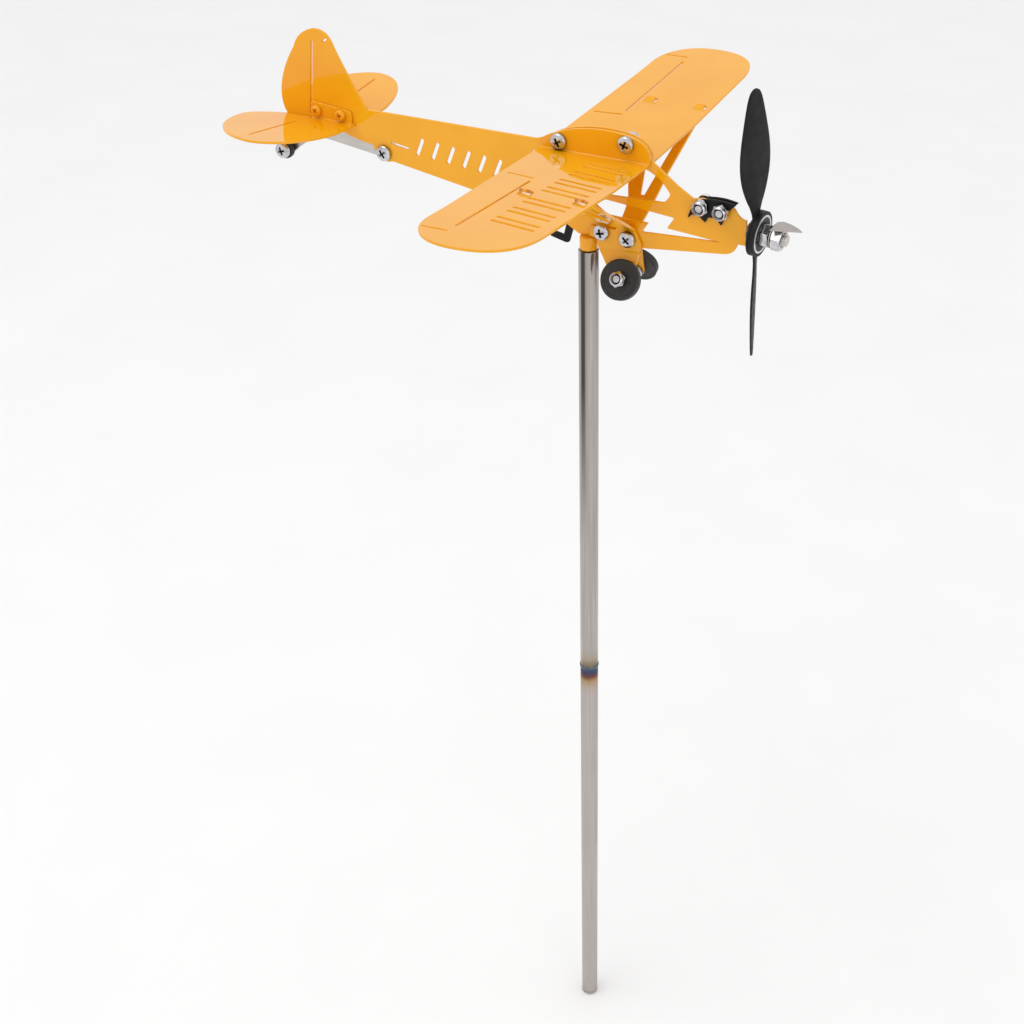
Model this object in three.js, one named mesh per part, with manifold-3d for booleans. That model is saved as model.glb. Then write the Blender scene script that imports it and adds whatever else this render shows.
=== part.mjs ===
// Sheet-metal aeroplane whirligig on a two-piece pole.
// Millimetres, +Z up, +X towards the propeller, +Y to the aeroplane's left.
// The origin is the centre of the pole's foot.

import * as THREE from 'three';
import { mergeVertices } from 'three/addons/utils/BufferGeometryUtils.js';
import Module from 'manifold-3d';

const wasm = await Module();
wasm.setup();

// ---------- driving dimensions ----------

const GAP = 0.2;                 // between pieces that are clamped or welded together
const RUNNING = 0.4;             // between pieces that turn on one another
const ROUND = 16;                // segments round a small turned piece

const POLE = { radius: 5, wall: 1, joint: 276, top: 530 };
const PIN = { radius: 2, depth: 30, inCollar: 5 };
const COLLAR = { radius: 4.3, bottom: 0.5, top: 7.2 };

const SHEET = 1.5;               // fuselage, braces and tail strip
const THIN = 1.2;                // wings, stabilizers and black trim
const M4 = { radius: 2, hole: 2.3, head: 4, headHeight: 2.6, nutFlats: 7, nutHeight: 4.2 };
const M3 = { radius: 1.5, hole: 1.8, head: 2.8, headHeight: 2, nutFlats: 5.5, nutHeight: 3.2 };
const M6 = { radius: 3, nutFlats: 10, nutHeight: 4.7, innerNutHeight: 4 };

const WING = { rootHeight: 47.9, rise: 0.077, hingeLine: -3.5, slit: 1 };
const WING_SCREWS = [[-14, 52.2], [20, 56]];
const STRUT = { spread: 64, footHeight: 14.6, topHeight: 52.6, past: 3.2 };
const BRACE_SCREWS = [[8.2, 11.4], [21.6, 10.2]];
const GEAR = { splay: THREE.MathUtils.degToRad(26), foldHeight: 3, axleX: 21.7, axleDown: 13.5 };
const WHEEL = { radius: 9.8, width: 4 };

const STABILIZER = { rootHeight: 42.8, rise: 0.11 };
const STABILIZER_SCREWS = [[-148.6, 47], [-134.6, 46.6]];
const TAIL_SCREW = [-111.5, 30.5];
const TAIL_WHEEL = { x: -171.2, z: 23.1, radius: 4.8, width: 3 };
const ENGINE_BOLTS = [[57.7, 32.6], [67.6, 32]];

const NOSE = { x: 80.4, z: 24.4, right: THREE.MathUtils.degToRad(4), down: THREE.MathUtils.degToRad(3.6) };
const BEARING = { outer: 9, race: 7.8, inner: 4.9, width: 2.6 };
const BLADE = {
  pitch: THREE.MathUtils.degToRad(19.3),
  leanBack: THREE.MathUtils.degToRad(1.2),
  roll: THREE.MathUtils.degToRad(13.6),
  sheet: 1,
};

// ---------- materials ----------

const paint = (colour, roughness, metalness) =>
  () => new THREE.MeshStandardMaterial({ color: colour, roughness, metalness });
const orange = paint(0xe99a12, 0.25, 0);
const black = paint(0x1b1a1c, 0.45, 0);
const rubber = paint(0x202022, 0.7, 0);
const steel = paint(0xb4aba8, 0.35, 1);
const chrome = paint(0xd8d8dc, 0.15, 1);
const brass = paint(0xb08d4a, 0.4, 1);

// ---------- solid helpers ----------

function toSolid(geometry) {
  const bare = geometry.clone();
  bare.deleteAttribute('normal');
  bare.deleteAttribute('uv');
  const merged = mergeVertices(bare, 1e-4);
  return new wasm.Manifold(new wasm.Mesh({
    numProp: 3,
    vertProperties: Float32Array.from(merged.attributes.position.array),
    triVerts: Uint32Array.from(merged.index.array),
  }));
}

function toGeometry(solid) {
  const mesh = solid.getMesh();
  const geometry = new THREE.BufferGeometry();
  geometry.setAttribute('position', new THREE.BufferAttribute(mesh.vertProperties, 3));
  geometry.setIndex(new THREE.BufferAttribute(mesh.triVerts, 1));
  geometry.computeVertexNormals();
  return geometry;
}

function join(...geometries) {
  return toGeometry(geometries.map(toSolid).reduce((whole, piece) => whole.add(piece)));
}

function cut(geometry, ...tools) {
  return toGeometry(tools.map(toSolid).reduce((whole, tool) => whole.subtract(tool), toSolid(geometry)));
}

function mirrored(geometry) {
  const copy = geometry.clone().scale(1, -1, 1);
  const index = copy.index.array;
  for (let i = 0; i < index.length; i += 3) [index[i + 1], index[i + 2]] = [index[i + 2], index[i + 1]];
  copy.computeVertexNormals();
  return copy;
}

function named(name, geometry, material) {
  const mesh = new THREE.Mesh(geometry, material());
  mesh.name = name;
  return mesh;
}

function turned(points, segments = ROUND) {
  return new THREE.LatheGeometry(points.map(([r, z]) => new THREE.Vector2(r, z)), segments)
    .rotateX(Math.PI / 2);
}

function ring(inner, outer, bottom, top, segments = ROUND) {
  const profile = [[inner, bottom], [outer, bottom], [outer, top], [inner, top], [inner, bottom]];
  return turned(profile, segments);
}

function rod(radius, bottom, top, segments = ROUND) {
  return turned([[0, bottom], [radius, bottom], [radius, top], [0, top]], segments);
}

function extruded(shape, thickness, curveSegments = 8) {
  return new THREE.ExtrudeGeometry(shape, { depth: thickness, bevelEnabled: false, curveSegments });
}

// A sheet in the X-Z plane, with its faces at y and y + thickness.
function uprightSheet(shape, y, thickness) {
  return extruded(shape, thickness).rotateX(Math.PI / 2).translate(0, y + thickness, 0);
}

function polygon(points) {
  const [first, ...rest] = points;
  const shape = new THREE.Shape().moveTo(...first);
  rest.forEach((point) => shape.lineTo(...point));
  return shape.closePath();
}

// Points along an arc, from one angle to another, both ends included.
function arc(x, y, radius, from, to, steps) {
  return Array.from({ length: steps + 1 }, (_, i) => {
    const angle = from + (to - from) * i / steps;
    return new THREE.Vector2(x + radius * Math.cos(angle), y + radius * Math.sin(angle));
  });
}

function hole(x, y, radius) {
  const sides = 10;
  const lastAngle = 2 * Math.PI * (1 - 1 / sides);
  return new THREE.Path(arc(x, y, radius, lastAngle, 0, sides - 1)).closePath();
}

// A straight slot with round ends, as a hole in a shape.
function slot([x0, y0], [x1, y1], width) {
  const angle = Math.atan2(y1 - y0, x1 - x0);
  const quarter = Math.PI / 2;
  return new THREE.Path([
    ...arc(x1, y1, width / 2, angle + quarter, angle - quarter, 3),
    ...arc(x0, y0, width / 2, angle - quarter, angle - 3 * quarter, 3),
  ]).closePath();
}

function path(points) {
  return new THREE.Path(points.map(([x, y]) => new THREE.Vector2(x, y))).closePath();
}

// ---------- fasteners ----------

// Pan-head screw along +Z, the underside of the head at z = 0 and a cross recess on top.
function panScrew(size, length) {
  const { radius, head, headHeight } = size;
  const body = turned([
    [0, -length], [radius, -length], [radius, 0], [head, 0],
    [head, headHeight * 0.45], [head * 0.85, headHeight * 0.78], [head * 0.5, headHeight], [0, headHeight],
  ]);
  const arm = () => new THREE.BoxGeometry(head * 1.1, head * 0.23, 1.6).translate(0, 0, headHeight);
  return cut(body, arm(), arm().rotateZ(Math.PI / 2));
}

function hexNut(flats, height, bore) {
  const shape = new THREE.Shape();
  for (let corner = 0; corner < 6; corner += 1) {
    const angle = corner * Math.PI / 3;
    const reach = flats / Math.sqrt(3);
    if (corner === 0) shape.moveTo(reach, 0);
    else shape.lineTo(reach * Math.cos(angle), reach * Math.sin(angle));
  }
  shape.closePath().holes.push(hole(0, 0, bore));
  return extruded(shape, height);
}

// Lock nut from z = 0 upwards: a hexagon with a round collar.
function lockNut(size) {
  const { nutFlats, nutHeight, hole: bore } = size;
  const collar = ring(bore, nutFlats * 0.46, nutHeight * 0.6, nutHeight);
  return join(hexNut(nutFlats, nutHeight * 0.65, bore), collar);
}

// A screw through upright sheets: its head outside nearY (below zero), its nut outside farY.
function crossBolt(name, x, z, nearY, farY, size = M4, material = chrome) {
  const length = farY - nearY + 2 * GAP + size.nutHeight - 0.9;
  const screw = named(`${name}_screw`, panScrew(size, length), material);
  screw.position.set(x, nearY - GAP, z);
  screw.rotation.x = Math.PI / 2;
  const nut = named(`${name}_nut`, lockNut(size), chrome);
  nut.position.set(x, farY + GAP, z);
  nut.rotation.x = -Math.PI / 2;
  return [screw, nut];
}

// ---------- pole ----------

function poleParts() {
  const { radius, wall, joint, top } = POLE;
  const bore = radius - wall;
  const fit = bore - GAP;
  const endCap = turned([[0, 0], [radius - 0.6, 0], [radius, 0.6], [radius, 2], [fit, 2], [fit, 12], [0, 12]], 24);
  const weld = turned([
    [radius + 0.05, joint - 1], [radius + 0.35, joint - 0.6], [radius + 0.45, joint],
    [radius + 0.35, joint + 0.6], [radius + 0.05, joint + 1], [radius + 0.05, joint - 1],
  ], 24);
  return [
    named('pole_end_cap', endCap, steel),
    named('pole_lower_tube', ring(bore, radius, 2 + GAP, joint - GAP / 2, 24), steel),
    named('pole_joint_spigot', rod(fit, joint - 20, joint + 20), steel),
    named('pole_weld_bead', weld, steel),
    named('pole_upper_tube', ring(bore, radius, joint + GAP / 2, top, 24), steel),
    named('pivot_bush', ring(PIN.radius + RUNNING, fit, top - PIN.depth + 4, top - GAP), brass),
  ];
}

// ---------- swivel ----------

function swivelParts() {
  const { radius, bottom, top } = COLLAR;
  const bore = PIN.radius + GAP;
  const roof = PIN.inCollar + GAP;
  const collar = turned([
    [bore, bottom], [radius, bottom], [radius, top - 0.6], [radius - 0.6, top],
    [0, top], [0, roof], [bore, roof], [bore, bottom],
  ]);
  return [
    named('swivel_collar', collar, orange),
    named('pivot_pin', rod(PIN.radius, -PIN.depth, PIN.inCollar), steel),
  ];
}

// ---------- fuselage ----------

function fuselageOutline() {
  const shape = new THREE.Shape().moveTo(-137, 38);
  shape.quadraticCurveTo(-126, 34, -118, 33.5);
  shape.lineTo(-116, 27.5);
  shape.quadraticCurveTo(-112, 25, -107, 26.6);
  [[-12, 11.5], [-5, 7.4], [5, 7.4], [28, 6], [69, 10.8]].forEach((point) => shape.lineTo(...point));
  shape.quadraticCurveTo(74.5, 11.5, 75.5, 16.8);
  [[80.3, 16.8], [79.2, 29]].forEach((point) => shape.lineTo(...point));
  shape.quadraticCurveTo(76, 29, 74, 32.5);
  shape.quadraticCurveTo(73, 34.4, 70, 35.4);
  [[57.5, 35.9], [53, 35], [45.5, 39.5], [32, 49.5]].forEach((point) => shape.lineTo(...point));
  shape.bezierCurveTo(31.6, 57.2, 25, 60.6, 8, 60.4);
  shape.quadraticCurveTo(-12, 59.6, -24, 52);
  [[-27, 51], [-120, 51]].forEach((point) => shape.lineTo(...point));
  shape.quadraticCurveTo(-130, 66, -136.5, 79);
  shape.bezierCurveTo(-139, 86, -143, 87.5, -148, 87.2);
  shape.quadraticCurveTo(-157, 85, -160, 77);
  shape.bezierCurveTo(-168, 66, -172, 54, -169.5, 46);
  shape.quadraticCurveTo(-168, 40, -160, 39);
  return shape.closePath();
}

function fuselageOpenings() {
  const cabinWindow = path([[-2, 29], [-2, 45], [30, 45], [36.5, 41.5], [42, 35], [39, 30.6]]);
  const rearWindow = path([[-36, 36], [-28, 45.5], [-8, 45.5], [-8, 31.5]]);
  const sideFlash = path([[4, 23.5], [9, 27], [44, 24], [40.5, 18.3], [67, 16.3], [28, 14.2], [31, 19], [10, 19.5]]);
  const tailDash = slot([-107, 36], [-98, 34.6], 1.2);
  const vents = [0, 1, 2, 3, 4, 5].map((step) => {
    const x = -91 + 8.6 * step;
    const z = 36.4 - 0.75 * step;
    return slot([x - 1.5, z - 3.6], [x + 1.5, z + 3.6], 2);
  });
  const rudderHinge = slot([-149, 80.7], [-153.4, 44.5], 1);
  const rudderHorn = slot([-142.4, 81.6], [-140.6, 82.8], 0.9);
  return [cabinWindow, rearWindow, sideFlash, tailDash, ...vents, rudderHinge, rudderHorn];
}

function fuselagePlate() {
  const shape = fuselageOutline();
  const bolts = [...WING_SCREWS, ...BRACE_SCREWS, TAIL_SCREW, ...ENGINE_BOLTS];
  shape.holes.push(...fuselageOpenings());
  shape.holes.push(...bolts.map(([x, z]) => hole(x, z, M4.hole)));
  shape.holes.push(...STABILIZER_SCREWS.map(([x, z]) => hole(x, z, M3.hole)));
  return named('fuselage_plate', uprightSheet(shape, -SHEET / 2, SHEET), orange);
}

// ---------- wings ----------

// Leading and trailing edges with a rounded tip: x is along the chord, y outwards from the root.
function wingPlanform(root) {
  const shape = new THREE.Shape().moveTo(-24, root);
  shape.lineTo(31.5, root);
  shape.lineTo(33.6, 45);
  shape.lineTo(34, 110);
  shape.bezierCurveTo(34, 130, 24, 139.5, 7, 139.5);
  shape.bezierCurveTo(-8, 139.5, -18, 128, -18, 112);
  shape.lineTo(-18.5, 96);
  return shape.closePath();
}

function aileronSlits() {
  const { hingeLine, slit } = WING;
  return [
    slot([hingeLine - 0.5, 50], [hingeLine + 1, 117], slit),
    slot([hingeLine - 1, 45.5], [-18, 44], slit),
    slot([hingeLine + 0.5, 124], [-14, 124], slit),
  ];
}

function wingStripes() {
  return [17, 31, 45, 57.5, 75, 89, 103].flatMap((middle) => [-2.6, 2.6].map((side) => (
    slot([7, middle + side - 1.6], [27, middle + side + 1.6], 1.8)
  )));
}

// The upright flange that is bolted to the fuselage.
function wingFlange() {
  const shape = new THREE.Shape().moveTo(-23.5, 47.6);
  shape.lineTo(31.5, 47.6);
  shape.lineTo(32, 51);
  shape.bezierCurveTo(31, 57.5, 24, 61, 8, 61);
  shape.quadraticCurveTo(-14, 60, -23.5, 51);
  shape.closePath().holes.push(...WING_SCREWS.map(([x, z]) => hole(x, z, M4.hole)));
  return shape;
}

// A left wing. The right one is its mirror image, with stripes cut through it.
function wing(openings) {
  const inner = SHEET / 2 + GAP;
  const planform = wingPlanform(0);
  planform.holes.push(...openings);
  const panel = extruded(planform, THIN)
    .rotateX(Math.atan(WING.rise))
    .translate(0, inner, WING.rootHeight - THIN);
  const flange = uprightSheet(wingFlange(), inner, THIN);
  const tabSlots = strutTabs(0.5, 8);
  return cut(join(panel, flange), ...tabSlots);
}

// ---------- struts and landing gear ----------

const strutSlope = Math.atan((STRUT.topHeight - STRUT.footHeight) / (STRUT.spread - 1));
const strutLength = Math.hypot(STRUT.topHeight - STRUT.footHeight, STRUT.spread - 1);
const braceInner = SHEET / 2 + GAP;

// Turns a shape drawn as x and distance up the strut into the leaning strut sheet.
function leaning(shape, thickness, sink = 0) {
  return extruded(shape, thickness)
    .translate(0, 0, -sink)
    .rotateX(strutSlope)
    .translate(0, braceInner + SHEET * 0.6, STRUT.footHeight - SHEET * 0.4);
}

// The ends of the two strut legs, which pass up through the wing.
function strutTabs(margin, reach) {
  const start = strutLength - reach;
  return [[-0.5, 4.5], [26, 30.5]].map(([rear, front]) => {
    const outline = polygon([
      [rear - margin, start], [front + margin, start],
      [front + margin, strutLength + reach], [rear - margin, strutLength + reach],
    ]);
    return leaning(outline, SHEET + 2 * margin, margin);
  });
}

function strutSheet() {
  const up = (y) => (y - 1) / Math.cos(strutSlope);
  const top = strutLength + STRUT.past;
  const shape = new THREE.Shape().moveTo(15.5, 0);
  shape.lineTo(14.5, up(13));
  shape.quadraticCurveTo(9, up(24), 5, up(36));
  [[-0.5, strutLength - 6], [-0.5, top], [4.5, top], [4.5, strutLength - 6]].forEach((p) => shape.lineTo(...p));
  shape.lineTo(15, up(32));
  shape.lineTo(19.2, up(17));
  shape.lineTo(21, up(17));
  shape.lineTo(23.2, up(36));
  [[26, strutLength - 6], [26, top], [30.5, top], [30.5, strutLength - 6]].forEach((p) => shape.lineTo(...p));
  shape.lineTo(27.4, up(30));
  shape.quadraticCurveTo(27.4, up(16), 25.4, 0);
  return leaning(shape.closePath(), SHEET);
}

// The flat foot that is bolted to the fuselage.
function braceFoot() {
  const fold = GEAR.foldHeight;
  const shape = polygon([[6, fold], [27, fold], [28.5, 8], [26, 15], [15, 15], [2, 14.5], [1.5, 8], [5, 7.6]]);
  shape.holes.push(...BRACE_SCREWS.map(([x, z]) => hole(x, z, M4.hole)));
  return uprightSheet(shape, braceInner, SHEET);
}

// The gear leg hangs from the fold, splayed outwards, and ends in a round eye for the axle.
function gearLeg() {
  const { axleX, axleDown, splay, foldHeight } = GEAR;
  const eye = 4.4;
  const shape = new THREE.Shape().moveTo(27, 1);
  shape.lineTo(axleX + eye, 1 - axleDown);
  shape.absarc(axleX, -axleDown, eye, 0, -0.8 * Math.PI, true);
  shape.lineTo(6, 1);
  const axleHole = rod(M4.hole, -1, SHEET + 1).translate(axleX, -axleDown, 0);
  return cut(extruded(shape.closePath(), SHEET), axleHole)
    .rotateX(Math.PI / 2)
    .translate(0, SHEET, 0)
    .rotateX(splay)
    .translate(0, braceInner, foldHeight);
}

function leftBrace() {
  return join(strutSheet(), braceFoot(), gearLeg());
}

// A wheel with its axle bolt and lock nut; local +Z is the outward axle direction.
function wheelSet(side) {
  const name = side > 0 ? 'left' : 'right';
  const { axleX, axleDown, splay, foldHeight } = GEAR;
  const group = new THREE.Group();
  const down = axleDown * Math.cos(splay);
  const out = axleDown * Math.sin(splay);
  group.position.set(axleX, side * (braceInner + out), foldHeight - down);
  group.rotation.x = -side * (Math.PI / 2 - splay);
  const wheelStart = SHEET + RUNNING;
  const wheelEnd = wheelStart + WHEEL.width;
  const bolt = named(`${name}_axle_bolt`, panScrew(M4, wheelEnd + RUNNING + M4.nutHeight - 0.7), chrome);
  bolt.rotation.x = Math.PI;
  bolt.position.z = -GAP;
  const wheel = named(`${name}_wheel`, wheelDisc(wheelStart, wheelEnd), rubber);
  const nut = named(`${name}_axle_nut`, lockNut(M4), chrome);
  nut.position.z = wheelEnd + RUNNING;
  group.add(bolt, wheel, nut);
  return group;
}

function wheelDisc(bottom, top) {
  const { radius } = WHEEL;
  const bore = M4.radius + RUNNING;
  const edge = 0.8;
  return turned([
    [bore, bottom], [radius - edge, bottom], [radius, bottom + edge], [radius, top - edge],
    [radius - edge, top], [bore, top], [bore, bottom],
  ], 28);
}

// ---------- boarding step and engine cover ----------

function boardingStep() {
  const shape = polygon([
    [-23.2, 17], [-21.8, 3.2], [-20.2, 2.4], [-12.4, 0.6], [-10.8, 1.2], [-7.6, 12.5], [-7.6, 15.5],
    [-11, 15.5], [-13.8, 4.6], [-19, 5.6], [-20, 17],
  ]);
  return named('boarding_step', uprightSheet(shape, SHEET / 2 + GAP, THIN), black);
}

// One of the two plates beside the nose, with a curved crest and three pointed fins below.
function enginePlate(y) {
  const shape = new THREE.Shape().moveTo(51.2, 25.9);
  const fins = [[53.4, 28], [57, 27.4], [59.8, 25.2], [61.2, 28], [65, 27.9], [67.6, 25], [69.6, 29.8]];
  fins.forEach((point) => shape.lineTo(...point));
  shape.quadraticCurveTo(71, 33, 74.3, 35.8);
  shape.quadraticCurveTo(66, 38, 57, 35.8);
  shape.quadraticCurveTo(52, 31.4, 51.2, 25.9);
  shape.closePath().holes.push(...ENGINE_BOLTS.map(([x, z]) => hole(x, z, M4.hole)));
  return uprightSheet(shape, y, THIN);
}

// ---------- tail ----------

function rightStabilizerPanel() {
  const shape = new THREE.Shape().moveTo(-128, 0);
  shape.lineTo(-125, 21);
  shape.bezierCurveTo(-127, 40, -136, 54, -151, 55);
  shape.bezierCurveTo(-172, 53, -186, 34, -185, 15);
  shape.bezierCurveTo(-184.5, 8, -177, 5, -168, 0);
  shape.closePath().holes.push(slot([-154, 12], [-157, 46], 1));
  return shape;
}

// The left panel is narrower at the back.
function leftStabilizerPanel() {
  const shape = new THREE.Shape().moveTo(-127, 0);
  shape.lineTo(-123.5, 21);
  shape.bezierCurveTo(-125, 40, -134, 55, -149, 56);
  shape.bezierCurveTo(-166, 54, -178, 36, -177, 16);
  shape.bezierCurveTo(-176.5, 9, -171, 5, -164, 0);
  shape.closePath().holes.push(slot([-147.5, 12], [-147, 48], 1));
  return shape;
}

// A panel with the upright flange that is bolted to the fin.
function stabilizer(panelShape) {
  const inner = SHEET / 2 + GAP;
  const panel = extruded(panelShape, THIN)
    .rotateX(Math.atan(STABILIZER.rise))
    .translate(0, inner, STABILIZER.rootHeight - THIN);
  const flange = polygon([[-152.2, 42.2], [-128.6, 42.2], [-128.6, 49], [-152.2, 51.6]]);
  flange.holes.push(...STABILIZER_SCREWS.map(([x, z]) => hole(x, z, M3.hole)));
  return join(panel, uprightSheet(flange, inner, THIN));
}

// The bare strip on the far side that carries the tail wheel.
function tailStrip() {
  const { x, z } = TAIL_WHEEL;
  const [screwX, screwZ] = TAIL_SCREW;
  const half = 3.6;
  const shape = new THREE.Shape();
  shape.absarc(screwX, screwZ, half, -Math.PI / 2, Math.PI * 0.45, false);
  shape.lineTo(-146, 38.6);
  shape.quadraticCurveTo(-158, 39, x - half * 0.7, z + half * 0.8);
  shape.absarc(x, z, half, Math.PI * 0.75, Math.PI * 1.75, false);
  shape.quadraticCurveTo(-156, 32, -146, 31.6);
  shape.closePath().holes.push(hole(screwX, screwZ, M4.hole), hole(x, z, M4.hole));
  return named('tail_strip', uprightSheet(shape, SHEET / 2 + GAP, SHEET), steel);
}

function tailWheelParts() {
  const { x, z, radius, width } = TAIL_WHEEL;
  const farFace = SHEET / 2 + GAP + SHEET;
  const nearFace = SHEET / 2 + GAP - RUNNING;
  const wheel = named('tail_wheel', ring(M4.radius + RUNNING, radius, 0, width), rubber);
  wheel.position.set(x, nearFace, z);
  wheel.rotation.x = Math.PI / 2;
  return [wheel, ...crossBolt('tail_wheel', x, z, nearFace - width - RUNNING + GAP, farFace)];
}

// ---------- propeller ----------

// One blade along +Z, wrapped round by its stations: distance out, chord and pitch.
function blade() {
  const stations = [
    [8.5, 7, 0], [11, 6.6, 0.3], [15, 8, 0.8], [20, 11.6, 1], [27, 15.8, 1], [34, 18, 1], [41, 18.2, 1],
    [48, 16.8, 1], [55, 14.4, 1], [62, 11.6, 1], [68, 8.8, 1], [71.9, 5.6, 1], [73.4, 2, 1],
  ];
  const corners = stations.flatMap(([out, chord, share]) => {
    const angle = BLADE.pitch * share;
    const across = [Math.sin(angle) * chord / 2, Math.cos(angle) * chord / 2];
    const through = [Math.cos(angle) * BLADE.sheet / 2, -Math.sin(angle) * BLADE.sheet / 2];
    return [[-1, -1], [1, -1], [1, 1], [-1, 1]].map(([side, face]) => [
      side * across[0] + face * through[0], side * across[1] + face * through[1], out,
    ]);
  });
  return wrapped(corners, stations.length);
}

// A closed skin over rings of four corners each.
function wrapped(corners, rings) {
  const index = [];
  for (let ringStart = 0; ringStart < 4 * (rings - 1); ringStart += 4) {
    for (let side = 0; side < 4; side += 1) {
      const a = ringStart + side;
      const b = ringStart + (side + 1) % 4;
      index.push(a, b, b + 4, a, b + 4, a + 4);
    }
  }
  const end = 4 * (rings - 1);
  index.push(0, 2, 1, 0, 3, 2, end, end + 1, end + 2, end, end + 2, end + 3);
  const geometry = new THREE.BufferGeometry();
  geometry.setAttribute('position', new THREE.Float32BufferAttribute(corners.flat(), 3));
  geometry.setIndex(index);
  const solid = toSolid(geometry);
  return solid.volume() > 0 ? geometry : flipped(geometry);
}

function flipped(geometry) {
  const index = geometry.index.array;
  for (let i = 0; i < index.length; i += 3) [index[i + 1], index[i + 2]] = [index[i + 2], index[i + 1]];
  return geometry;
}

// Pieces on the propeller shaft. Local +X runs forwards along the shaft from the nose.
function propellerGroup() {
  const { outer, race, inner, width } = BEARING;
  const along = (geometry) => geometry.rotateY(Math.PI / 2);
  const sheetBack = 3.2;
  const bearingBack = sheetBack + BLADE.sheet + GAP;
  const bearingFront = bearingBack + width;
  const nutBack = bearingFront + GAP;
  const washerBack = nutBack + M6.innerNutHeight + GAP;
  const outerNutBack = washerBack + 0.8 + GAP;
  const shaftEnd = outerNutBack + M6.nutHeight + 2;
  const bore = M6.radius + GAP;
  const hubRadius = outer + 1.5;

  const shaft = turned([
    [0, 0.2], [4.6, 0.2], [4.6, 1.2], [M6.radius, 1.2], [M6.radius, shaftEnd - 0.8],
    [M6.radius - 0.8, shaftEnd], [0, shaftEnd],
  ]);
  const root = ring(6.2, hubRadius, sheetBack, sheetBack + BLADE.sheet, 28);
  const upper = blade().rotateY(-BLADE.leanBack).translate(sheetBack + BLADE.sheet / 2, 0, 0);
  const blades = join(along(root), upper, upper.clone().rotateX(Math.PI)).rotateX(BLADE.roll);
  const sealRing = (back) => ring(inner + RUNNING, race - GAP / 2, back, back + 0.6, 28);

  const group = new THREE.Group();
  group.position.set(NOSE.x, 0, NOSE.z);
  group.rotation.set(0, NOSE.down, -NOSE.right, 'ZYX');
  group.add(
    named('propeller_shaft', along(shaft), steel),
    named('shaft_spacer', along(ring(bore, 5, 1.4, bearingBack - GAP)), steel),
    named('propeller_blades', blades, black),
    named('propeller_hub', along(ring(outer + GAP, hubRadius, bearingBack, bearingFront - 0.2, 28)), black),
    named('bearing_outer_ring', along(ring(race, outer, bearingBack, bearingFront, 28)), chrome),
    named('bearing_inner_ring', along(ring(bore, inner, bearingBack, bearingFront, 28)), chrome),
    named('bearing_rear_seal', along(sealRing(bearingBack + 0.2)), rubber),
    named('bearing_front_seal', along(sealRing(bearingFront - 0.8)), rubber),
    named('inner_shaft_nut', along(hexNut(M6.nutFlats, M6.innerNutHeight, bore).translate(0, 0, nutBack)), chrome),
    named('tab_washer', along(tabWasher(bore).translate(0, 0, washerBack)), steel),
    named('outer_shaft_nut', along(hexNut(M6.nutFlats, M6.nutHeight, bore).translate(0, 0, outerNutBack)), chrome),
  );
  return group;
}

// A lock washer whose pointed tongue is folded forwards over the outer nut.
// Local +Z is forwards and local -X is up, before it is laid along the shaft.
function tabWasher(bore) {
  const washer = ring(bore, 5, 0, 0.8);
  const lift = 6.4;
  const neck = new THREE.BoxGeometry(2.6, 5, 0.8).translate(-(lift - 1.2), 1, 0.4);
  const tongue = new THREE.Shape().moveTo(-1.5, 0);
  tongue.lineTo(-1.5, 0.9);
  tongue.lineTo(-6.8, 0.95);
  tongue.lineTo(-0.1, 13.8);
  tongue.quadraticCurveTo(4.5, 9, 4.9, 2.3);
  tongue.lineTo(3.5, 0);
  const leaf = extruded(tongue.closePath(), 0.6).rotateX(Math.PI / 2).rotateZ(Math.PI / 2);
  return join(washer, neck, leaf.translate(-lift, 0, 0));
}

// ---------- assembly ----------

function boltedJoints() {
  const wingFace = SHEET / 2 + GAP + THIN;
  const braceFace = SHEET / 2 + GAP + SHEET;
  return [
    ...WING_SCREWS.flatMap(([x, z], i) => crossBolt(['wing_rear', 'wing_front'][i], x, z, -wingFace, wingFace)),
    ...BRACE_SCREWS.flatMap(([x, z], i) => crossBolt(['brace_rear', 'brace_front'][i], x, z, -braceFace, braceFace)),
    ...STABILIZER_SCREWS.flatMap(([x, z], i) => (
      crossBolt(['stabilizer_rear', 'stabilizer_front'][i], x, z, -wingFace, wingFace, M3, orange)
    )),
    ...crossBolt('tail_strip', ...TAIL_SCREW, -SHEET / 2, SHEET / 2 + GAP + SHEET),
    ...engineBolts(wingFace),
  ];
}

// The engine bolts face the other way: their nuts are on the near side.
function engineBolts(face) {
  return ENGINE_BOLTS.flatMap(([x, z], i) => {
    const pieces = crossBolt(['engine_rear', 'engine_front'][i], x, z, -face, face);
    pieces.forEach((piece) => {
      piece.position.y *= -1;
      piece.rotation.x *= -1;
    });
    return pieces;
  });
}

function aeroplane() {
  const brace = leftBrace();
  const group = new THREE.Group();
  group.position.z = POLE.top;
  group.add(
    ...swivelParts(),
    fuselagePlate(),
    named('left_wing', wing(aileronSlits()), orange),
    named('right_wing', mirrored(wing([...aileronSlits(), ...wingStripes()])), orange),
    named('left_brace', brace, orange),
    named('right_brace', mirrored(brace), orange),
    named('left_stabilizer', stabilizer(leftStabilizerPanel()), orange),
    named('right_stabilizer', mirrored(stabilizer(rightStabilizerPanel())), orange),
    boardingStep(),
    named('left_engine_plate', enginePlate(SHEET / 2 + GAP), black),
    named('right_engine_plate', enginePlate(-SHEET / 2 - GAP - THIN), black),
    tailStrip(),
    ...tailWheelParts(),
    ...boltedJoints(),
    wheelSet(1),
    wheelSet(-1),
    propellerGroup(),
  );
  return group;
}

const group = new THREE.Group();
group.add(...poleParts(), aeroplane());

export default group;
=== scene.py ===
"""Aeroplane whirligig: fine sheet metal, fasteners, materials, light and camera over the CAD frame.

Shapes are worked out in millimetres and scaled to metres when each piece is finished.
+X runs towards the propeller, +Y to the aeroplane's left and +Z up, from the pole's foot.
"""

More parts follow.
